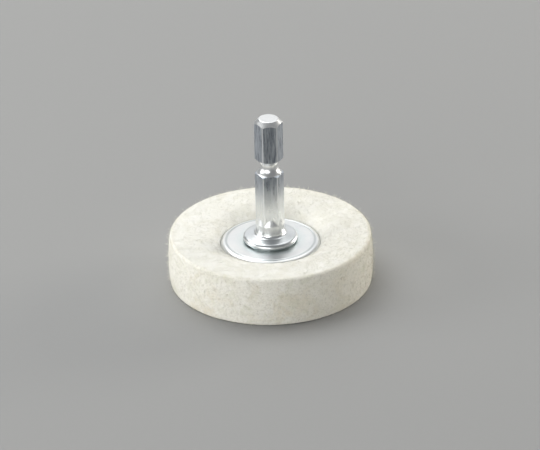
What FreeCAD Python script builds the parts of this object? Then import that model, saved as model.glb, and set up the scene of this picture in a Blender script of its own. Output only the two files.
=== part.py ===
"""Felt polishing wheel on a quarter-inch hex shank.

A felt disc is clamped between two pressed steel washers on a headed steel shank. The shank's
stem passes through the washers and a spacer tube, and its hollow end is flared over the lower
washer, so the wheel is riveted up for good. The lower face of the felt is the plane z = 0,
the shank points along +Z, and the wheel turns about the Z axis. All sizes are millimetres.
"""

import FreeCAD
import Part

import math
import os

V = FreeCAD.Vector

# Felt disc
FELT_DIAMETER = 50.0
FELT_THICKNESS = 12.7
FELT_EDGE_RADIUS = 0.8      # rounding at the rim of both faces
FELT_SLOPE_WIDTH = 5.6      # how far the pressed-in slope reaches out from the washer
FELT_BELOW_WASHER = 0.6     # washer's outer face to where the felt meets its turned edge

# Clamp washers, two of the same pressing
WASHER_DIAMETER = 24.8
WASHER_THICKNESS = 1.0
WASHER_BEND_RADIUS = 0.25   # inside radius of the edge that is turned into the felt
WASHER_LIP = 0.5            # straight part of the turned edge
WASHER_CREASE_WIDTH = 0.5   # shallow ring pressed in where the edge starts to turn
WASHER_CREASE_DEPTH = 0.07
WASHER_SINK = 2.0           # felt's face to the washer's outer face

# Hexagonal part of the shank
HEX_ACROSS_FLATS = 6.35
HEX_CORNER_RADIUS = 0.7
SHANK_HEIGHT = 33.5         # seat on the upper washer to the tip
TIP_CHAMFER = 1.3
TIP_EDGE_RADIUS = 0.25
GROOVE_FROM_TIP = 12.8      # tip to the middle of the ball groove
GROOVE_DEPTH = 1.05         # below the flats
GROOVE_ARC_RADIUS = 2.3

# Collar, flange and seat, from the top down
RUNOUT_LENGTH = 1.7         # the hex flats run out into the collar over this height
COLLAR_OVER_CORNERS = 0.05  # collar's radius over the hex's rounded corners
COLLAR_LENGTH = 3.1
COLLAR_FILLET = 0.9
FLANGE_DIAMETER = 13.6
FLANGE_THICKNESS = 1.6
FLANGE_CROWN = 0.3          # fall of the flange's top from the fillet to its rounding
FLANGE_ROLL_RADIUS = 1.0    # rounding of the flange's upper edge
FLANGE_EDGE_RADIUS = 0.2    # rounding of the flange's lower edge
SEAT_DIAMETER = 11.4        # raised seat that bears on the washer
SEAT_HEIGHT = 0.4

# Stem through the wheel, with two flats that key the washers, and its riveted end
STEM_DIAMETER = 6.0
STEM_FLAT_DEPTH = 0.4
RIVET_HOLLOW_DIAMETER = 3.8
RIVET_HOLLOW_DEPTH = 5.6    # lower washer's outer face to the end of the straight bore
RIVET_POINT_ANGLE = 118.0   # drill point at the end of the bore
RIVET_HEAD_DIAMETER = 9.8
RIVET_HEAD_HEIGHT = 1.15
RIVET_MOUTH_RADIUS = 0.8    # rounding where the hollow opens

# Spacer tube between the washers
TUBE_WALL = 1.4

# Clearances, each on the radius or on one side
STEM_CLEARANCE = 0.05       # stem to the washers and to the tube's bore
FELT_CLEARANCE = 0.05       # felt to the tube and to the washers' turned edges

FELT_RADIUS = FELT_DIAMETER / 2
WASHER_RADIUS = WASHER_DIAMETER / 2
WASHER_ROLL_RADIUS = WASHER_BEND_RADIUS + WASHER_THICKNESS
HEX_SHARP_RADIUS = HEX_ACROSS_FLATS / math.sqrt(3)
HEX_ROUND_RADIUS = HEX_SHARP_RADIUS - HEX_CORNER_RADIUS * (2 / math.sqrt(3) - 1)
COLLAR_RADIUS = HEX_ROUND_RADIUS + COLLAR_OVER_CORNERS
SEAT_Z = FELT_THICKNESS - WASHER_SINK
LOWER_FACE_Z = WASHER_SINK
TIP_Z = SEAT_Z + SHANK_HEIGHT
FLANGE_UNDER_Z = SEAT_Z + SEAT_HEIGHT
FLANGE_TOP_Z = FLANGE_UNDER_Z + FLANGE_THICKNESS
COLLAR_TOP_Z = FLANGE_TOP_Z + COLLAR_LENGTH
TUBE_BORE_RADIUS = STEM_DIAMETER / 2 + STEM_CLEARANCE
TUBE_RADIUS = TUBE_BORE_RADIUS + TUBE_WALL
SAME = 1e-6                 # two lengths closer than this are equal


def line(start, end):
    return Part.LineSegment(V(start[0], 0, start[1]), V(end[0], 0, end[1])).toShape()


def path(*points):
    """Straight edges through the (radius, height) points, in order."""
    return [line(a, b) for a, b in zip(points, points[1:])]


def on_circle(centre, radius, degrees):
    """A point of a circle in the XZ plane, at an angle from the outward direction to +Z."""
    angle = math.radians(degrees)
    return V(centre[0] + radius * math.cos(angle), 0, centre[1] + radius * math.sin(angle))


def arc(centre, radius, start, end):
    ends = [on_circle(centre, radius, degrees) for degrees in (start, (start + end) / 2, end)]
    return Part.Arc(*ends).toShape()


def turned(edges):
    """A solid of revolution about Z, from edges that close an outline in the XZ plane."""
    outline = Part.Wire(Part.__sortEdges__(edges))
    return Part.Face(outline).revolve(V(0, 0, 0), V(0, 0, 1), 360)


def flipped(shape):
    """The same piece turned over about the wheel's middle plane."""
    return shape.rotated(V(0, 0, FELT_THICKNESS / 2), V(1, 0, 0), 180)


def hex_prism(bottom, top):
    """A hexagonal bar with flats facing +Y and -Y and rounded corners."""
    outline = Part.makePolygon([V(HEX_SHARP_RADIUS * math.cos(math.radians(60 * i)),
                                  HEX_SHARP_RADIUS * math.sin(math.radians(60 * i)), bottom)
                                for i in range(7)])
    bar = Part.Face(outline).extrude(V(0, 0, top - bottom))
    upright = [e for e in bar.Edges if abs(e.BoundBox.ZLength - (top - bottom)) < SAME]
    return bar.makeFillet(HEX_CORNER_RADIUS, upright)


def keyed_bar(gap, bottom, top):
    """The stem's round section with its two flats facing +X and -X, larger by gap all round."""
    radius = STEM_DIAMETER / 2 + gap
    flat_x = STEM_DIAMETER / 2 - STEM_FLAT_DEPTH + gap
    bar = Part.makeCylinder(radius, top - bottom, V(0, 0, bottom))
    return bar.common(Part.makeBox(2 * flat_x, 2 * radius, top - bottom, V(-flat_x, -radius, bottom)))


def hex_drive():
    """The hexagonal part: chamfered tip, ball groove, and flats that end inside the collar."""
    bottom = COLLAR_TOP_Z - RUNOUT_LENGTH
    bar = hex_prism(bottom, TIP_Z)

    tip_r = HEX_SHARP_RADIUS - TIP_CHAMFER
    wide_r = tip_r + 2 * TIP_CHAMFER
    pointed = turned(path((0, bottom), (wide_r, bottom), (wide_r, TIP_Z - 2 * TIP_CHAMFER),
                          (tip_r, TIP_Z), (0, TIP_Z), (0, bottom)))
    tip_edge = [e for e in pointed.Edges if abs(e.BoundBox.ZMin - TIP_Z) < SAME]
    bar = bar.common(pointed.makeFillet(TIP_EDGE_RADIUS, tip_edge))

    neck_r = HEX_ACROSS_FLATS / 2 - GROOVE_DEPTH
    groove = Part.makeTorus(neck_r + GROOVE_ARC_RADIUS, GROOVE_ARC_RADIUS,
                            V(0, 0, TIP_Z - GROOVE_FROM_TIP), V(0, 0, 1))
    return bar.cut(groove)


def collar_and_flange():
    """The round part above the washer: runout cone, collar, domed flange and seat."""
    flat_r = HEX_ACROSS_FLATS / 2
    foot_r = COLLAR_RADIUS + COLLAR_FILLET
    rim_r = FLANGE_DIAMETER / 2
    seat_r = SEAT_DIAMETER / 2
    runout_top = COLLAR_TOP_Z + RUNOUT_LENGTH

    # The upper rounding leaves a little of the upright rim above the lower rounding.
    rim_height = FLANGE_THICKNESS - FLANGE_CROWN
    edge_r = FLANGE_EDGE_RADIUS
    roll = min(FLANGE_ROLL_RADIUS, rim_height - edge_r)
    roll_r = rim_r - roll
    slope = math.atan2(FLANGE_CROWN, roll_r - foot_r)
    crown_low_z = FLANGE_TOP_Z - FLANGE_CROWN
    roll_z = crown_low_z - roll * math.cos(slope)
    roll_start = (roll_r + roll * math.sin(slope), crown_low_z)

    edges = path((0, SEAT_Z), (0, runout_top), (flat_r, runout_top), (COLLAR_RADIUS, COLLAR_TOP_Z),
                 (COLLAR_RADIUS, FLANGE_TOP_Z + COLLAR_FILLET))
    edges.append(arc((foot_r, FLANGE_TOP_Z + COLLAR_FILLET), COLLAR_FILLET, 180, 270))
    edges.append(line((foot_r, FLANGE_TOP_Z), roll_start))
    edges.append(arc((roll_r, roll_z), roll, 90 - math.degrees(slope), 0))
    edges.append(line((rim_r, roll_z), (rim_r, FLANGE_UNDER_Z + edge_r)))
    edges.append(arc((rim_r - edge_r, FLANGE_UNDER_Z + edge_r), edge_r, 0, -90))
    edges += path((rim_r - edge_r, FLANGE_UNDER_Z), (seat_r, FLANGE_UNDER_Z), (seat_r, SEAT_Z),
                  (0, SEAT_Z))
    return turned(edges)


def rivet_head():
    """The hollow end of the stem, flared outward and rolled over the lower washer."""
    top = LOWER_FACE_Z
    low = top - RIVET_HEAD_HEIGHT
    roll = RIVET_HEAD_HEIGHT / 2
    mouth = RIVET_MOUTH_RADIUS
    hollow_r = RIVET_HOLLOW_DIAMETER / 2
    roll_r = RIVET_HEAD_DIAMETER / 2 - roll
    edges = path((hollow_r, top), (roll_r, top))
    edges.append(arc((roll_r, top - roll), roll, 90, -90))
    edges.append(line((roll_r, low), (hollow_r + mouth, low)))
    edges.append(arc((hollow_r + mouth, low + mouth), mouth, 270, 180))
    edges.append(line((hollow_r, low + mouth), (hollow_r, top)))
    return turned(edges)


def rivet_hollow():
    """The blind bore in the end of the stem, with its drill point."""
    radius = RIVET_HOLLOW_DIAMETER / 2
    bore = Part.makeCylinder(radius, RIVET_HOLLOW_DEPTH, V(0, 0, LOWER_FACE_Z))
    point_height = radius / math.tan(math.radians(RIVET_POINT_ANGLE / 2))
    return bore.fuse(Part.makeCone(radius, 0, point_height,
                                   V(0, 0, LOWER_FACE_Z + RIVET_HOLLOW_DEPTH)))


def hex_shank():
    stem = keyed_bar(0, LOWER_FACE_Z, SEAT_Z)
    body = hex_drive().fuse([collar_and_flange(), stem, rivet_head()])
    return body.cut(rivet_hollow()).removeSplitter()


def upper_clamp_washer():
    """A flat plate whose edge is turned down into the felt, with a keyed hole."""
    under = SEAT_Z - WASHER_THICKNESS
    bend_r = WASHER_RADIUS - WASHER_ROLL_RADIUS
    bend_z = SEAT_Z - WASHER_ROLL_RADIUS
    lip_z = bend_z - WASHER_LIP
    lip_in_r = WASHER_RADIUS - WASHER_THICKNESS
    lip_round = WASHER_THICKNESS / 2
    crease_r = bend_r - WASHER_CREASE_WIDTH
    crease_low = V(bend_r - WASHER_CREASE_WIDTH / 2, 0, SEAT_Z - WASHER_CREASE_DEPTH)
    edges = path((0, SEAT_Z), (crease_r, SEAT_Z))
    edges.append(Part.Arc(V(crease_r, 0, SEAT_Z), crease_low, V(bend_r, 0, SEAT_Z)).toShape())
    edges.append(arc((bend_r, bend_z), WASHER_ROLL_RADIUS, 90, 0))
    edges.append(line((WASHER_RADIUS, bend_z), (WASHER_RADIUS, lip_z)))
    edges.append(arc((WASHER_RADIUS - lip_round, lip_z), lip_round, 0, -180))
    edges.append(line((lip_in_r, lip_z), (lip_in_r, bend_z)))
    edges.append(arc((bend_r, bend_z), WASHER_BEND_RADIUS, 0, 90))
    edges += path((bend_r, under), (0, under), (0, SEAT_Z))
    return turned(edges).cut(keyed_bar(STEM_CLEARANCE, lip_z, SEAT_Z))


def spacer_tube():
    bottom = LOWER_FACE_Z + WASHER_THICKNESS
    length = SEAT_Z - WASHER_THICKNESS - bottom
    tube = Part.makeCylinder(TUBE_RADIUS, length, V(0, 0, bottom))
    return tube.cut(Part.makeCylinder(TUBE_BORE_RADIUS, length, V(0, 0, bottom)))


def felt_half():
    """The felt above its middle plane: bore, groove for the washer, slope, face and rim."""
    middle = FELT_THICKNESS / 2
    bore_r = TUBE_RADIUS + FELT_CLEARANCE
    under = SEAT_Z - WASHER_THICKNESS
    slot_in_r = WASHER_RADIUS - WASHER_THICKNESS - FELT_CLEARANCE
    slot_out_r = WASHER_RADIUS + FELT_CLEARANCE
    slot_z = (SEAT_Z - WASHER_ROLL_RADIUS - WASHER_LIP - WASHER_THICKNESS / 2
              - FELT_CLEARANCE)
    corner = WASHER_BEND_RADIUS - FELT_CLEARANCE

    # The slope is one arc that ends level with the felt's face.
    slope_low_z = SEAT_Z - FELT_BELOW_WASHER
    slope_depth = FELT_THICKNESS - slope_low_z
    slope_radius = (FELT_SLOPE_WIDTH ** 2 + slope_depth ** 2) / (2 * slope_depth)
    slope_start = 90 + math.degrees(math.asin(FELT_SLOPE_WIDTH / slope_radius))
    slope_out_r = slot_out_r + FELT_SLOPE_WIDTH

    rim_r = FELT_RADIUS - FELT_EDGE_RADIUS
    rim_z = FELT_THICKNESS - FELT_EDGE_RADIUS
    edges = path((bore_r, middle), (bore_r, under), (slot_in_r - corner, under))
    edges.append(arc((slot_in_r - corner, under - corner), corner, 90, 0))
    edges += path((slot_in_r, under - corner), (slot_in_r, slot_z), (slot_out_r, slot_z),
                  (slot_out_r, slope_low_z))
    edges.append(arc((slope_out_r, FELT_THICKNESS - slope_radius), slope_radius, slope_start, 90))
    edges.append(line((slope_out_r, FELT_THICKNESS), (rim_r, FELT_THICKNESS)))
    edges.append(arc((rim_r, rim_z), FELT_EDGE_RADIUS, 90, 0))
    edges += path((FELT_RADIUS, rim_z), (FELT_RADIUS, middle), (bore_r, middle))
    return turned(edges)


def felt_disc():
    half = felt_half()
    return half.fuse(flipped(half)).removeSplitter()


def main():
    os.makedirs("parts", exist_ok=True)
    washer = upper_clamp_washer()
    pieces = {
        "hex_shank": hex_shank(),
        "upper_clamp_washer": washer,
        "lower_clamp_washer": flipped(washer),
        "spacer_tube": spacer_tube(),
        "felt_disc": felt_disc(),
    }
    for name, shape in pieces.items():
        solid = shape.Solids[0]
        solid.exportStep(f"parts/{name}.step")
        print(name, len(shape.Solids), solid.isValid(), round(solid.Volume, 1))


main()
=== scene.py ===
import math

import bmesh
import bpy
import numpy as np
from mathutils import Matrix, Vector


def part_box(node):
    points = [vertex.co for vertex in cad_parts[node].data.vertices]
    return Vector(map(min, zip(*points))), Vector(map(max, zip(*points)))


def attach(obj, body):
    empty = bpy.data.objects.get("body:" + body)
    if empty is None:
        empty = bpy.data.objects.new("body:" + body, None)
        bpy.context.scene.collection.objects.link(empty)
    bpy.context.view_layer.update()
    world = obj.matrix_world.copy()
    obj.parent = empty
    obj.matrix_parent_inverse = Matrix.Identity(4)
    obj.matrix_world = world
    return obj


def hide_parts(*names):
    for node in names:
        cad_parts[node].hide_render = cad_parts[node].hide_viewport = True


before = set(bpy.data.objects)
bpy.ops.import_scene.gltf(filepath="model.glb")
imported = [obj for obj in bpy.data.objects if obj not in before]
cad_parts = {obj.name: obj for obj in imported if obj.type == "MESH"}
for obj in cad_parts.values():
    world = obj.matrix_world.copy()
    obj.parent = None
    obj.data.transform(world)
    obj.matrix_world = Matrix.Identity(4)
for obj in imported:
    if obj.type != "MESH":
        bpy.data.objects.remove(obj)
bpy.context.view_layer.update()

mm = 0.001
hair = 0.01 * mm        # tells a wall's own vertices from their neighbours
weld = 0.002 * mm       # closer vertices become one

# the wheel's own measures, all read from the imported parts
feltLow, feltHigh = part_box("felt_disc")
washerLow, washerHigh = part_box("upper_clamp_washer")
tubeLow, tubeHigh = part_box("spacer_tube")
shankLow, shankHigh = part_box("hex_shank")
feltRadius = (feltHigh.x - feltLow.x) / 2
feltThickness = feltHigh.z - feltLow.z
feltMiddle = (feltHigh.z + feltLow.z) / 2
washerRadius = (washerHigh.x - washerLow.x) / 2
tubeRadius = (tubeHigh.x - tubeLow.x) / 2


def deselectAll():
    if bpy.context.object and bpy.context.object.mode != "OBJECT":
        bpy.ops.object.mode_set(mode="OBJECT")
    bpy.ops.object.select_all(action="DESELECT")


def choose(piece):
    deselectAll()
    piece.select_set(True)
    bpy.context.view_layer.objects.active = piece


def applyAll(piece):
    choose(piece)
    for modifier in list(piece.modifiers):
        bpy.ops.object.modifier_apply(modifier=modifier.name)


def startOutline(name, r, z):
    # a single point, from which the outline is drawn in the XZ plane
    deselectAll()
    bpy.ops.mesh.primitive_plane_add(size=mm, location=(0, 0, 0))
    piece = bpy.context.object
    piece.name = name
    piece.data.name = name
    bpy.ops.object.mode_set(mode="EDIT")
    bpy.ops.mesh.select_mode(type="VERT")
    bpy.ops.mesh.select_all(action="SELECT")
    bpy.ops.mesh.merge(type="CENTER")
    bpy.ops.transform.translate(value=(r, 0, z))
    return piece


def penPlace():
    mesh = bmesh.from_edit_mesh(bpy.context.object.data)
    return next(v.co.copy() for v in mesh.verts if v.select)


def lineTo(r, z, moves):
    step = (Vector((r, 0, z)) - penPlace()) / moves
    for _ in range(moves):
        bpy.ops.mesh.extrude_region_move(TRANSFORM_OT_translate={"value": step})


def arcAbout(r, z, degrees, moves):
    bpy.ops.mesh.spin(steps=moves, angle=-math.radians(degrees), center=(r, 0, z), axis=(0, 1, 0))


def turnOutline(steps):
    bpy.ops.mesh.select_all(action="SELECT")
    bpy.ops.mesh.spin(steps=steps, angle=math.tau, center=(0, 0, 0), axis=(0, 0, 1))
    bpy.ops.mesh.select_all(action="SELECT")
    bpy.ops.mesh.remove_doubles(threshold=weld)
    bpy.ops.mesh.normals_make_consistent(inside=False)
    bpy.ops.object.mode_set(mode="OBJECT")


def newMaterial(name):
    material = bpy.data.materials.new(name)
    material.use_nodes = True
    nodes = material.node_tree.nodes
    nodes.clear()
    output = nodes.new("ShaderNodeOutputMaterial")
    shader = nodes.new("ShaderNodeBsdfPrincipled")
    material.node_tree.links.new(shader.outputs["BSDF"], output.inputs["Surface"])
    return material, material.node_tree, shader


def objectPlace(tree, scale=(1, 1, 1)):
    place = tree.nodes.new("ShaderNodeTexCoord")
    mapping = tree.nodes.new("ShaderNodeMapping")
    mapping.inputs["Scale"].default_value = scale
    tree.links.new(place.outputs["Object"], mapping.inputs["Vector"])
    return mapping.outputs["Vector"]


def axisDistance(tree):
    length = tree.nodes.new("ShaderNodeVectorMath")
    length.operation = "LENGTH"
    tree.links.new(objectPlace(tree, (1, 1, 0)), length.inputs[0])
    return length.outputs["Value"]


def alongAxis(tree, place, axis):
    separate = tree.nodes.new("ShaderNodeSeparateXYZ")
    tree.links.new(place, separate.inputs["Vector"])
    return separate.outputs[axis]


def noise(tree, vector, scale, detail=3.0, roughness=0.5, distortion=0.0):
    node = tree.nodes.new("ShaderNodeTexNoise")
    node.inputs["Scale"].default_value = scale
    node.inputs["Detail"].default_value = detail
    node.inputs["Roughness"].default_value = roughness
    node.inputs["Distortion"].default_value = distortion
    tree.links.new(vector, node.inputs["Vector"])
    return node.outputs["Fac"]


def spread(tree, value, fromLow, fromHigh, toLow=0.0, toHigh=1.0):
    node = tree.nodes.new("ShaderNodeMapRange")
    node.inputs["From Min"].default_value = fromLow
    node.inputs["From Max"].default_value = fromHigh
    node.inputs["To Min"].default_value = toLow
    node.inputs["To Max"].default_value = toHigh
    tree.links.new(value, node.inputs["Value"])
    return node.outputs["Result"]


def reckon(tree, operation, first, second=0.0):
    node = tree.nodes.new("ShaderNodeMath")
    node.operation = operation
    for socket, value in zip(node.inputs, (first, second)):
        if isinstance(value, (int, float)):
            socket.default_value = value
        else:
            tree.links.new(value, socket)
    return node.outputs["Value"]


def blend(tree, amount, first, second):
    node = tree.nodes.new("ShaderNodeMix")
    node.data_type = "RGBA"
    factor = next(s for s in node.inputs if s.name == "Factor" and s.type == "VALUE")
    colourA, colourB = [s for s in node.inputs if s.type == "RGBA"]
    for socket, value in ((factor, amount), (colourA, first), (colourB, second)):
        if isinstance(value, (int, float)):
            socket.default_value = value
        elif isinstance(value, tuple):
            socket.default_value = (*value, 1.0)
        else:
            tree.links.new(value, socket)
    return next(s for s in node.outputs if s.type == "RGBA")


def bump(tree, height, strength, distance, normal=None):
    node = tree.nodes.new("ShaderNodeBump")
    node.inputs["Strength"].default_value = strength
    node.inputs["Distance"].default_value = distance
    tree.links.new(height, node.inputs["Height"])
    if normal:
        tree.links.new(normal, node.inputs["Normal"])
    return node.outputs["Normal"]


def dress(piece, material):
    piece.data.materials.clear()
    piece.data.materials.append(material)


feltLook = {
    "steps": 420,               # turns of the spin
    "spacing": 0.34 * mm,       # from vertex to vertex along the outline
    "gap": 0.05 * mm,           # felt to tube and to the washer's turned edge
    "sheet": 1.0 * mm,          # washer's sheet
    "slopeWidth": 5.6 * mm,     # the dished ring round the washer
    "belowWasher": 0.6 * mm,    # felt meets the turned edge this far below the washer's face
    "upperRim": 0.85 * mm,
    "lowerRim": 0.45 * mm,
    "bulge": 0.34 * mm,         # the side wall swells this far between the rims
    "freeFrom": 0.5 * mm,       # past the turned edge by this much, no felt touches metal
    "startShare": 0.15,         # share of the unevenness beside the washer
    "growOver": 1.2 * mm,       # and the width over which it grows
    # unevenness: size, depth and the grey level that stays in place
    "uneven": {
        "broadDents": (9 * mm, 0.12 * mm, 0.75),
        "lumps": (2.4 * mm, 0.10 * mm, 0.8),
        "grains": (0.8 * mm, 0.12 * mm, 0.7),
    },
}


def makeFelt():
    look = feltLook
    boreR = tubeRadius + look["gap"]
    underZ = washerHigh.z - look["sheet"] - look["gap"] - feltMiddle
    slotInR = washerRadius - look["sheet"] - look["gap"]
    slotOutR = washerRadius + look["gap"]
    slotZ = washerLow.z - look["gap"] - feltMiddle
    slopeZ = washerHigh.z - look["belowWasher"] - feltMiddle
    faceZ = feltThickness / 2
    depth = faceZ - slopeZ
    width = look["slopeWidth"]
    slopeRadius = (width ** 2 + depth ** 2) / (2 * depth)
    slopeTurn = math.degrees(math.asin(width / slopeRadius))
    upper, lower = look["upperRim"], look["lowerRim"]
    slopeOutR = slotOutR + width

    def cuts(length):
        return max(1, round(length / look["spacing"]))

    slopeMoves = cuts(slopeRadius * math.radians(slopeTurn))

    # from the bore over the upper face, down the side wall and back below
    piece = startOutline("woolFelt", boreR, 0)
    lineTo(boreR, underZ, moves=3)
    lineTo(slotInR, underZ, moves=4)
    lineTo(slotInR, slotZ, moves=2)
    lineTo(slotOutR, slotZ, moves=1)
    lineTo(slotOutR, slopeZ, moves=4)
    arcAbout(slopeOutR, faceZ - slopeRadius, slopeTurn, slopeMoves)
    lineTo(feltRadius - upper, faceZ, cuts(feltRadius - upper - slopeOutR))
    arcAbout(feltRadius - upper, faceZ - upper, 90, moves=7)
    lineTo(feltRadius, lower - faceZ, cuts(2 * faceZ - upper - lower))
    arcAbout(feltRadius - lower, lower - faceZ, 90, moves=5)
    lineTo(slopeOutR, -faceZ, cuts(feltRadius - lower - slopeOutR))
    arcAbout(slopeOutR, slopeRadius - faceZ, slopeTurn, slopeMoves)
    lineTo(slotOutR, -slotZ, moves=4)
    lineTo(slotInR, -slotZ, moves=1)
    lineTo(slotInR, -underZ, moves=2)
    lineTo(boreR, -underZ, moves=4)
    lineTo(boreR, 0, moves=3)
    turnOutline(look["steps"])

    # side wall swells between the rims, and the whole is lifted into place
    mesh = piece.data
    for v in mesh.vertices:
        r = math.hypot(v.co.x, v.co.y)
        if r > feltRadius - hair:
            reach = faceZ - (upper if v.co.z > 0 else lower)
            grow = 1 + look["bulge"] * max(0, 1 - (v.co.z / reach) ** 2) / feltRadius
            v.co.x *= grow
            v.co.y *= grow
        v.co.z += feltMiddle

    # only the open surface is uneven, not the walls that touch metal
    group = piece.vertex_groups.new(name="openSurface")
    for v in mesh.vertices:
        r = math.hypot(v.co.x, v.co.y)
        height = abs(v.co.z - feltMiddle)
        onSlope = r > slotOutR - hair and height > slopeZ - hair
        if onSlope or r > slotOutR + look["freeFrom"]:
            share = min(1.0, look["startShare"] + (r - slotOutR) / look["growOver"])
            group.add([v.index], share, "REPLACE")
    for name, (size, dentDepth, level) in look["uneven"].items():
        texture = bpy.data.textures.new(name, "CLOUDS")
        texture.noise_scale = size
        texture.noise_depth = 2
        texture.noise_basis = "ORIGINAL_PERLIN"
        dents = piece.modifiers.new(name, "DISPLACE")
        dents.texture = texture
        dents.texture_coords = "LOCAL"
        dents.strength = dentDepth
        dents.mid_level = level
        dents.vertex_group = group.name
    applyAll(piece)
    choose(piece)
    bpy.ops.object.shade_smooth()
    return piece


woolLook = {
    "cream": (0.872, 0.860, 0.790),
    "white": (0.925, 0.915, 0.870),
    "mottle": (300, 4, 0.6, 0.4),           # noise: scale, detail, roughness, distortion
    "mottleRange": (0.35, 0.65),
    "wallFrom": 1.2 * mm,                   # the side wall's stains and painted shade start this far in
    "wallFull": 0.2 * mm,
    "faceStainsAndShade": 0.25,                       # share of those stains and that painted shade on the two faces
    # painted shade: the side wall's warmer colour
    "wallShadeColour": (0.88, 0.855, 0.75),
    "wallShadeShare": 0.4,
    # painted shade: the colour of the side wall's shaded half
    "shadedSideColour": (0.74, 0.68, 0.53),
    "shadedSideShare": 0.28,                     # painted shade: one half of the wall is yellower, as the half in shade
    "shadedSideReach": 0.6,                      # fully so from this share of the radius
    # stains: stretch, noise, from, to, share, colour
    "stains": (
        ((1, 1, 1), (150, 4, 0.65, 0.8), 0.48, 0.70, 0.62, (0.74, 0.68, 0.53)),
        ((1.1, 0.9, 1.2), (330, 4, 0.65, 0.6), 0.50, 0.70, 0.55, (0.70, 0.70, 0.56)),
        ((1, 1, 1), (1900, 5, 0.75, 0.8), 0.49, 0.70, 0.6, (0.52, 0.50, 0.44)),
        ((1, 1, 1), (1150, 2, 0.5, 1.6), 0.67, 0.76, 0.6, (0.36, 0.31, 0.23)),
    ),
    "roughness": 0.92,
    "specular": 0.25,
    "sheen": 0.35,
    "sheenRoughness": 0.45,
    "strands": (1500, 6, 0.7, 2.5),
    "strandBump": (0.55, 0.12 * mm),        # strength, depth
    "grain": (3600, 2, 0.6, 0.6),
    "grainBump": (0.35, 0.05 * mm),
}


def feltMaterial(name, fibre=False):
    look = woolLook
    material, tree, shader = newMaterial(name)
    place = objectPlace(tree)

    # the turned side wall carries most of the stains, and a warmer colour that is painted shade
    wallStainsAndShade = spread(tree, axisDistance(tree), feltRadius - look["wallFrom"], feltRadius - look["wallFull"],
                  look["faceStainsAndShade"])
    mottle = spread(tree, noise(tree, place, *look["mottle"]), *look["mottleRange"])
    colour = blend(tree, mottle, look["cream"], look["white"])
    # painted shade: the side wall is blended towards a warmer colour
    colour = blend(tree, reckon(tree, "MULTIPLY", wallStainsAndShade, look["wallShadeShare"]), colour, look["wallShadeColour"])
    # painted shade: the side wall grows yellower towards +X
    shadedSide = spread(tree, alongAxis(tree, place, "X"), 0, feltRadius * look["shadedSideReach"],
                      0.0, look["shadedSideShare"])
    colour = blend(tree, reckon(tree, "MULTIPLY", wallStainsAndShade, shadedSide), colour, look["shadedSideColour"])
    for stretch, pattern, low, high, share, stain in look["stains"]:
        marks = spread(tree, noise(tree, objectPlace(tree, stretch), *pattern), low, high, 0.0, share)
        colour = blend(tree, reckon(tree, "MULTIPLY", wallStainsAndShade, marks), colour, stain)
    tree.links.new(colour, shader.inputs["Base Color"])

    shader.inputs["Roughness"].default_value = look["roughness"]
    shader.inputs["Specular IOR Level"].default_value = look["specular"]
    shader.inputs["Sheen Weight"].default_value = look["sheen"]
    shader.inputs["Sheen Roughness"].default_value = look["sheenRoughness"]
    if not fibre:
        normal = bump(tree, noise(tree, place, *look["strands"]), *look["strandBump"])
        normal = bump(tree, noise(tree, place, *look["grain"]), *look["grainBump"], normal)
        tree.links.new(normal, shader.inputs["Normal"])
    return material


fuzzLook = {
    "kinds": 6,
    "bend": 1.1,                # most that a kind bends to one side
    "twist": 2.2,
    "bendCentre": 0.08,         # these keep a bent fibre about its middle
    "twistCentre": 0.2,
    "cuts": (-0.2, 0.2),        # where a fibre can bend, along its unit length
    "taper": 0.85,
    "thickness": 0.052 * mm,
    "length": (0.7 * mm, 2.0 * mm),
    "lift": 5,                  # degrees that a lying fibre rises
    "lying": 0.006 * mm,        # its height over the felt
    "strayShare": 0.28,
    "strayLift": (12, 75),
    "strayShorter": 0.65,
    "strayOut": 0.42,           # a stray's middle stands out by this share of its rise
    "lowest": 0.01 * mm,        # above the felt's lower face
    "squash": 0.2,              # what would reach lower is pressed flat
    "pastWasher": 0.25 * mm,
    "faceSlope": 0.35,          # least upward part of an upper face's normal
    "wallSlope": 0.5,           # most of it on the side wall
    "wallDepth": 1.0 * mm,
    # name: number of fibres, seed
    "fuzzTop": (7600, 3),
    "fuzzSide": (7800, 4),
    "fuzzBottom": (5200, 5),
}


def makeFibre(bend, twist):
    # one pointed three-sided fibre of unit length along X, then curved
    look = fuzzLook
    deselectAll()
    bpy.ops.mesh.primitive_cylinder_add(vertices=3, radius=0.5, depth=1, end_fill_type="TRIFAN",
                                        rotation=(0, math.radians(90), 0), location=(0, 0, 0))
    fibre = bpy.context.object
    bpy.ops.object.transform_apply(location=True, rotation=True, scale=True)
    bpy.ops.object.mode_set(mode="EDIT")
    for place in look["cuts"]:
        bpy.ops.mesh.select_all(action="SELECT")
        bpy.ops.mesh.bisect(plane_co=(place, 0, 0), plane_no=(1, 0, 0))
    bpy.ops.object.mode_set(mode="OBJECT")
    points = np.array([v.co[:] for v in fibre.data.vertices])
    faces = np.array([p.vertices[:] + (p.vertices[0],) * (4 - len(p.vertices))
                      for p in fibre.data.polygons])
    bpy.data.objects.remove(fibre)
    along = points[:, 0].copy()
    points[:, 1:] *= (1 - look["taper"] * (2 * np.abs(along[:, None])) ** 2)
    sideways = (bend * (along ** 2 - look["bendCentre"])
                + twist * along * (along ** 2 - look["twistCentre"]))
    return points, sideways, faces


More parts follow.
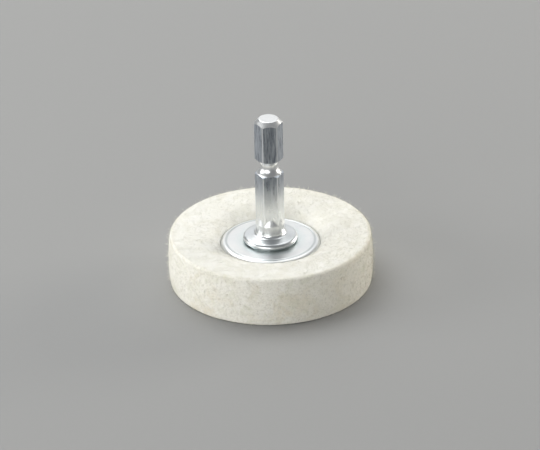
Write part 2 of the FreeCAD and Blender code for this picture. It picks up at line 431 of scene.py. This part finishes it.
def surfaceTriangles(felt, wanted):
    mesh = felt.data
    mesh.calc_loop_triangles()
    points = np.array([v.co[:] for v in mesh.vertices])
    triangles = np.array([t.vertices[:] for t in mesh.loop_triangles])
    # the spin lists its faces in another order each time, so they are put in order of their vertices
    turned = (triangles.argmin(axis=1)[:, None] + np.arange(3)) % 3
    triangles = np.take_along_axis(triangles, turned, axis=1)
    corners = points[triangles[np.lexsort(triangles.T[::-1])]]
    normals = np.cross(corners[:, 1] - corners[:, 0], corners[:, 2] - corners[:, 0])
    areas = np.linalg.norm(normals, axis=1) / 2
    normals /= 2 * np.maximum(areas, 1e-16)[:, None]
    middle = corners.mean(axis=1)
    keep = wanted(middle, normals)
    return corners[keep], normals[keep], areas[keep]


def makeFuzz(name, felt, wanted):
    look = fuzzLook
    count, seed = look[name]
    chance = np.random.default_rng(seed)
    corners, normals, areas = surfaceTriangles(felt, wanted)
    picks = chance.choice(len(areas), count, p=areas / areas.sum())
    a, b = chance.random(count), chance.random(count)
    fold = a + b > 1
    a[fold], b[fold] = 1 - a[fold], 1 - b[fold]
    tri = corners[picks]
    roots = tri[:, 0] + a[:, None] * (tri[:, 1] - tri[:, 0]) + b[:, None] * (tri[:, 2] - tri[:, 0])
    up = normals[picks]
    heading = chance.normal(size=(count, 3))
    heading -= (heading * up).sum(1)[:, None] * up
    heading /= np.linalg.norm(heading, axis=1)[:, None]
    across = np.cross(up, heading)
    stray = chance.random(count) < look["strayShare"]
    lift = np.radians(np.where(stray, chance.uniform(*look["strayLift"], count),
                               chance.normal(0, look["lift"], count)))
    length = chance.uniform(*look["length"], count) * np.where(stray, look["strayShorter"], 1)
    forward = heading * np.cos(lift)[:, None] + up * np.sin(lift)[:, None]
    above = up * np.cos(lift)[:, None] - heading * np.sin(lift)[:, None]
    standing = np.abs(np.sin(lift)) * length * look["strayOut"]
    roots += up * (np.where(stray, standing, look["lying"]))[:, None]

    most = np.array((look["bend"], look["twist"]))
    curves = chance.uniform(-most, most, (look["kinds"], 2))
    kinds = [makeFibre(bend, twist) for bend, twist in curves]
    allPoints, allFaces, total = [], [], 0
    for i in range(count):
        points, sideways, faces = kinds[i % look["kinds"]]
        place = (roots[i] + points[:, :1] * length[i] * forward[i]
                 + (points[:, 1:2] * look["thickness"] + sideways[:, None] * length[i]) * across[i]
                 + points[:, 2:3] * look["thickness"] * above[i])
        allPoints.append(place)
        allFaces.append(faces + total)
        total += len(points)
    places = np.concatenate(allPoints)
    low = feltLow.z + look["lowest"]
    pressed = low + (low - places[:, 2]) * look["squash"]
    places[:, 2] = np.where(places[:, 2] < low, pressed, places[:, 2])
    polygons = [tuple(dict.fromkeys(f)) for f in np.concatenate(allFaces).tolist()]
    mesh = bpy.data.meshes.new(name)
    mesh.from_pydata(places.tolist(), [], polygons)
    mesh.update()
    piece = bpy.data.objects.new(name, mesh)
    bpy.context.scene.collection.objects.link(piece)
    choose(piece)
    bpy.ops.object.shade_smooth()
    return piece


def openFace(direction):
    # the triangles, by middle p and normal n, of the face that looks up (1) or down (-1)
    slope, edge = fuzzLook["faceSlope"], washerRadius + fuzzLook["pastWasher"]
    return lambda p, n: (n[:, 2] * direction > slope) & (np.hypot(p[:, 0], p[:, 1]) > edge)


def sideWall(p, n):
    slope, inside = fuzzLook["wallSlope"], feltRadius - fuzzLook["wallDepth"]
    return (np.abs(n[:, 2]) <= slope) & (np.hypot(p[:, 0], p[:, 1]) > inside)


# bright zinc plate, shared by all the metal
zincLook = {
    "cloud": (220, 3, 0.55, 0.3),           # noise: scale, detail, roughness, distortion
    "stains": (700, 4, 0.65, 0.5),
    "stainRange": (0.58, 0.8, 0.0, 0.3),
    "stainColour": (0.60, 0.64, 0.68),
    "rings": (2300, 3, 0.6),
    "satin": (2400, 4, 0.7, 0.2),
    "evenRange": (0.3, 0.7),                # cloud and satin are spread from these levels
    "ringShare": 0.6,
    "grainBump": (0.26, 0.016 * mm),        # strength, depth
    "pits": (900, 2, 0.5),
    "pitBump": (0.15, 0.03 * mm),
}

washerLook = {
    "dark": (0.79, 0.81, 0.82),
    "light": (0.87, 0.875, 0.87),
    "rough": (0.28, 0.40),
    "creaseInside": 1.4 * mm,                       # from the washer's edge to the crease
    "crease": (0.12 * mm, 0.45 * mm, 0.65, 0.0),    # painted shade line along the crease: full this near, gone this far, shares
    "creaseShadeColour": (0.42, 0.45, 0.46),
    "flangeShadow": (6.9 * mm, 9.2 * mm, 0.5, 0.0),         # painted shadow and reflection of the flange, beside it: radii, shares
    "flangeShadowColour": (0.66, 0.765, 0.755),
}

shankLook = {
    "dark": (0.72, 0.745, 0.765),
    "light": (0.80, 0.815, 0.82),
    "rough": (0.26, 0.36),
    "collarTop": 5.1 * mm,                          # above the washer
    "collarFade": 0.6 * mm,
    "flangeHeights": (2.0 * mm, 2.7 * mm),          # above the washer, painted shade below them
    "flangeShadeShares": (0.32, 0.0),
    "rim": (6.5 * mm, 6.75 * mm, 0.0, 0.55),        # painted shade past these radii
    "flangeShadeColour": (0.46, 0.50, 0.51),
    "flats": (3.10 * mm, 3.17 * mm),                # the bar is outside, the groove and chamfer inside
    "fineStreaks": ((1, 1, 0.06), (4200, 3, 0.6)),  # stretch, noise
    "broadStreaks": ((1, 1, 0.16), (1300, 4, 0.65)),
    "streakRange": (0.38, 0.62),
    # painted shade: the drawn bar's streaked colours, made darker to stand in for the dark reflections
    # on its upper part
    "drawnShade": ((0.36, 0.395, 0.45), (0.60, 0.64, 0.69)),
    # painted shade: the bar's front face is darker still
    "frontDrawnShade": ((0.19, 0.215, 0.25), (0.45, 0.48, 0.51)),
    "frontShadeFlat": (-3.05 * mm, -2.75 * mm, 1.0, 0.0),
    "drawnShadeOver": (3.5 * mm, 12 * mm),               # above the collar, the plate's colour gives way to the drawn bar's painted shade
    "drawnRough": (0.35, 0.65, 0.22, 0.40),
    "corners": (3.525 * mm, 3.55 * mm, 0.0, 0.8),   # painted highlight past these radii
    "cornerHighlightColour": (0.90, 0.92, 0.94),
    "chamfer": (2.24 * mm, 2.34 * mm),              # radius plus height, over the tip's height
    "tip": (0.2 * mm, 0.1 * mm),                    # below the tip
    "grooveShare": 0.5,
    # painted highlight: the cut surfaces' paler colour
    "cutHighlightColour": (0.86, 0.87, 0.875),
    "cutRough": (0.26, 0.38),
}


def paintWasherShade(tree, radius, colour):
    look = washerLook
    crease = washerRadius - look["creaseInside"]
    apart = reckon(tree, "ABSOLUTE", reckon(tree, "SUBTRACT", radius, crease))
    # painted shade: a dark line along the washer's crease
    colour = blend(tree, spread(tree, apart, *look["crease"]), colour, look["creaseShadeColour"])
    # painted shadow and reflection of the flange on the plate beside it
    return blend(tree, spread(tree, radius, *look["flangeShadow"]), colour, look["flangeShadowColour"])


def streakShank(tree, place, radius, satin, colour, rough, grain):
    # above the collar the metal is drawn hexagonal bar, with streaks along it, painted shade that
    # darkens it upward and on its front face, and painted highlights on its corners
    look = shankLook
    height = alongAxis(tree, place, "Z")
    collarTop = washerHigh.z + look["collarTop"]
    above = spread(tree, height, collarTop - look["collarFade"], collarTop + look["collarFade"])
    bar = reckon(tree, "MULTIPLY", above, spread(tree, radius, *look["flats"]))

    # painted shade on the flange's lower part and rim
    low, high = look["flangeHeights"]
    flange = spread(tree, height, washerHigh.z + low, washerHigh.z + high, *look["flangeShadeShares"])
    flangeShade = reckon(tree, "MAXIMUM", flange, spread(tree, radius, *look["rim"]))
    colour = blend(tree, flangeShade, colour, look["flangeShadeColour"])

    halves = []
    for stretch, pattern in (look["fineStreaks"], look["broadStreaks"]):
        streak = noise(tree, objectPlace(tree, stretch), *pattern)
        halves.append(reckon(tree, "MULTIPLY", streak, 0.5))
    streaks = reckon(tree, "ADD", *halves)
    tone = spread(tree, streaks, *look["streakRange"])
    # painted shade: the bar's front face, towards -Y, is darker
    front = spread(tree, alongAxis(tree, place, "Y"), *look["frontShadeFlat"])
    drawnShade = blend(tree, front, blend(tree, tone, *look["drawnShade"]), blend(tree, tone, *look["frontDrawnShade"]))
    low, high = look["drawnShadeOver"]
    # painted shade: the bar darkens upward over these heights
    upperShade = reckon(tree, "MULTIPLY", bar, spread(tree, height, collarTop + low, collarTop + high))
    colour = blend(tree, upperShade, colour, drawnShade)
    # painted highlight along the hex corners
    corners = reckon(tree, "MULTIPLY", bar, spread(tree, radius, *look["corners"]))
    colour = blend(tree, corners, colour, look["cornerHighlightColour"])
    rough = blend(tree, bar, rough, spread(tree, streaks, *look["drawnRough"]))
    grain = blend(tree, bar, grain, streaks)

    # the cut surfaces, groove and chamfered tip, are more matt, and painted paler as a highlight
    low, high = look["chamfer"]
    cone = spread(tree, reckon(tree, "ADD", radius, height), shankHigh.z + low, shankHigh.z + high)
    low, high = look["tip"]
    tip = spread(tree, height, shankHigh.z - low, shankHigh.z - high)
    groove = reckon(tree, "MULTIPLY", reckon(tree, "SUBTRACT", above, bar), look["grooveShare"])
    cutAndHighlight = reckon(tree, "MAXIMUM", reckon(tree, "MAXIMUM", cone, tip), groove)
    colour = blend(tree, cutAndHighlight, colour, look["cutHighlightColour"])
    rough = blend(tree, cutAndHighlight, rough, spread(tree, satin, *zincLook["evenRange"], *look["cutRough"]))
    return colour, rough, grain


def zincMaterial(name, look):
    material, tree, shader = newMaterial(name)
    place = objectPlace(tree)
    radius = axisDistance(tree)
    shader.inputs["Metallic"].default_value = 1.0

    cloud = spread(tree, noise(tree, place, *zincLook["cloud"]), *zincLook["evenRange"])
    colour = blend(tree, cloud, look["dark"], look["light"])
    stains = spread(tree, noise(tree, place, *zincLook["stains"]), *zincLook["stainRange"])
    colour = blend(tree, stains, colour, zincLook["stainColour"])

    # rings round the axis, from the distance to it and the height only
    ringPlace = tree.nodes.new("ShaderNodeCombineXYZ")
    tree.links.new(radius, ringPlace.inputs["X"])
    tree.links.new(alongAxis(tree, place, "Z"), ringPlace.inputs["Y"])
    rings = noise(tree, ringPlace.outputs["Vector"], *zincLook["rings"])
    satin = noise(tree, place, *zincLook["satin"])
    rough = spread(tree, satin, *zincLook["evenRange"], *look["rough"])
    grain = blend(tree, zincLook["ringShare"], satin, rings)
    if "crease" in look:
        colour = paintWasherShade(tree, radius, colour)
    else:
        colour, rough, grain = streakShank(tree, place, radius, satin, colour, rough, grain)
    tree.links.new(colour, shader.inputs["Base Color"])
    tree.links.new(rough, shader.inputs["Roughness"])
    normal = bump(tree, grain, *zincLook["grainBump"])
    normal = bump(tree, noise(tree, place, *zincLook["pits"]), *zincLook["pitBump"], normal)
    tree.links.new(normal, shader.inputs["Normal"])
    return material


felt = makeFelt()
dress(felt, feltMaterial("pressedWool"))
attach(felt, "root")
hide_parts("felt_disc")
print("felt made:", len(felt.data.polygons), "faces")

looseWool = feltMaterial("looseWool", fibre=True)
for name, wanted in (("fuzzTop", openFace(1)), ("fuzzSide", sideWall), ("fuzzBottom", openFace(-1))):
    fuzz = makeFuzz(name, felt, wanted)
    dress(fuzz, looseWool)
    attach(fuzz, "root")
    print(name, "made:", len(fuzz.data.polygons), "faces")

shankMetal = zincMaterial("shankZinc", shankLook)
washerMetal = zincMaterial("washerZinc", washerLook)
for node, metal in (("hex_shank", shankMetal), ("upper_clamp_washer", washerMetal),
                    ("lower_clamp_washer", washerMetal), ("spacer_tube", washerMetal)):
    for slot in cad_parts[node].material_slots:
        slot.material = metal
print("metal dressed")


stageLook = {
    "floorSize": 8,
    "floorColour": (0.32, 0.32, 0.318),
    "floorGrain": (900, 3, 0.6),
    "floorShade": 0.97,
    "floorRoughness": 0.75,
    "world": (0.96, 0.98, 1.0),
    "worldStrength": 0.24,
    "aim": (0, 0, 0.01),
    # name: place, size, watts, colour
    "lamps": {
        "overhead": ((-0.04, 0.36, 0.86), (1.5, 0.8), 4.9, (0.985, 0.995, 0.98)),
        "key": ((-0.30, 0.38, 0.82), (0.7, 0.7), 3.0, (0.99, 0.995, 0.985)),
        "back": ((0.10, 0.85, 0.33), (1.3, 0.40), 1.35, (1.0, 1.0, 1.0)),
        "left": ((-0.80, 0.00, 0.20), (0.5, 0.35), 3.1, (1.0, 0.995, 0.98)),
        "front": ((-0.55, -1.00, 0.26), (0.9, 0.35), 5.8, (1.0, 0.995, 0.98)),
        "right": ((0.76, 0.34, 0.15), (0.4, 0.25), 4.2, (1.0, 0.95, 0.86)),
    },
}


def makeFloor():
    look = stageLook
    deselectAll()
    bpy.ops.mesh.primitive_plane_add(size=look["floorSize"], location=(0, 0, feltLow.z))
    floor = bpy.context.object
    floor.name = "floor"
    material, tree, shader = newMaterial("floorCard")
    grain = noise(tree, objectPlace(tree), *look["floorGrain"])
    shade = tuple(c * look["floorShade"] for c in look["floorColour"])
    tree.links.new(blend(tree, grain, look["floorColour"], shade), shader.inputs["Base Color"])
    shader.inputs["Roughness"].default_value = look["floorRoughness"]
    dress(floor, material)


def makeLights():
    look = stageLook
    world = bpy.data.worlds.new("studio")
    world.use_nodes = True
    background = world.node_tree.nodes["Background"]
    background.inputs["Color"].default_value = (*look["world"], 1.0)
    background.inputs["Strength"].default_value = look["worldStrength"]
    bpy.context.scene.world = world

    for name, (place, size, watts, colour) in look["lamps"].items():
        aim = Vector(look["aim"]) - Vector(place)
        bpy.ops.object.light_add(type="AREA", location=place,
                                 rotation=aim.to_track_quat("-Z", "Y").to_euler())
        lamp = bpy.context.object
        lamp.name = name
        lamp.data.shape = "RECTANGLE"
        lamp.data.size, lamp.data.size_y = size
        lamp.data.energy = watts
        lamp.data.color = colour
        lamp.visible_camera = False


cameraLook = {
    "azimuth": -4.5,
    "elevation": 27.8,
    "roll": -1.1,
    "distance": 1.5,
    "lens": 405.0,
    "aim": (-0.06 * mm, 0.0, 14.7 * mm),
    "clip": (0.01, 20),
}


def makeCamera():
    look = cameraLook
    a, e = math.radians(look["azimuth"]), math.radians(look["elevation"])
    back = Vector((math.sin(a) * math.cos(e), -math.cos(a) * math.cos(e), math.sin(e)))
    roll = Matrix.Rotation(math.radians(look["roll"]), 3, "Z")
    turn = (-back).to_track_quat("-Z", "Y").to_matrix() @ roll
    bpy.ops.object.camera_add(location=Vector(look["aim"]) + back * look["distance"],
                              rotation=turn.to_euler())
    camera = bpy.context.object
    camera.data.lens = look["lens"]
    camera.data.clip_start, camera.data.clip_end = look["clip"]
    bpy.context.scene.camera = camera


makeFloor()
makeLights()
makeCamera()
bpy.context.scene.view_settings.view_transform = "Standard"
print("floor, lamps and camera set")
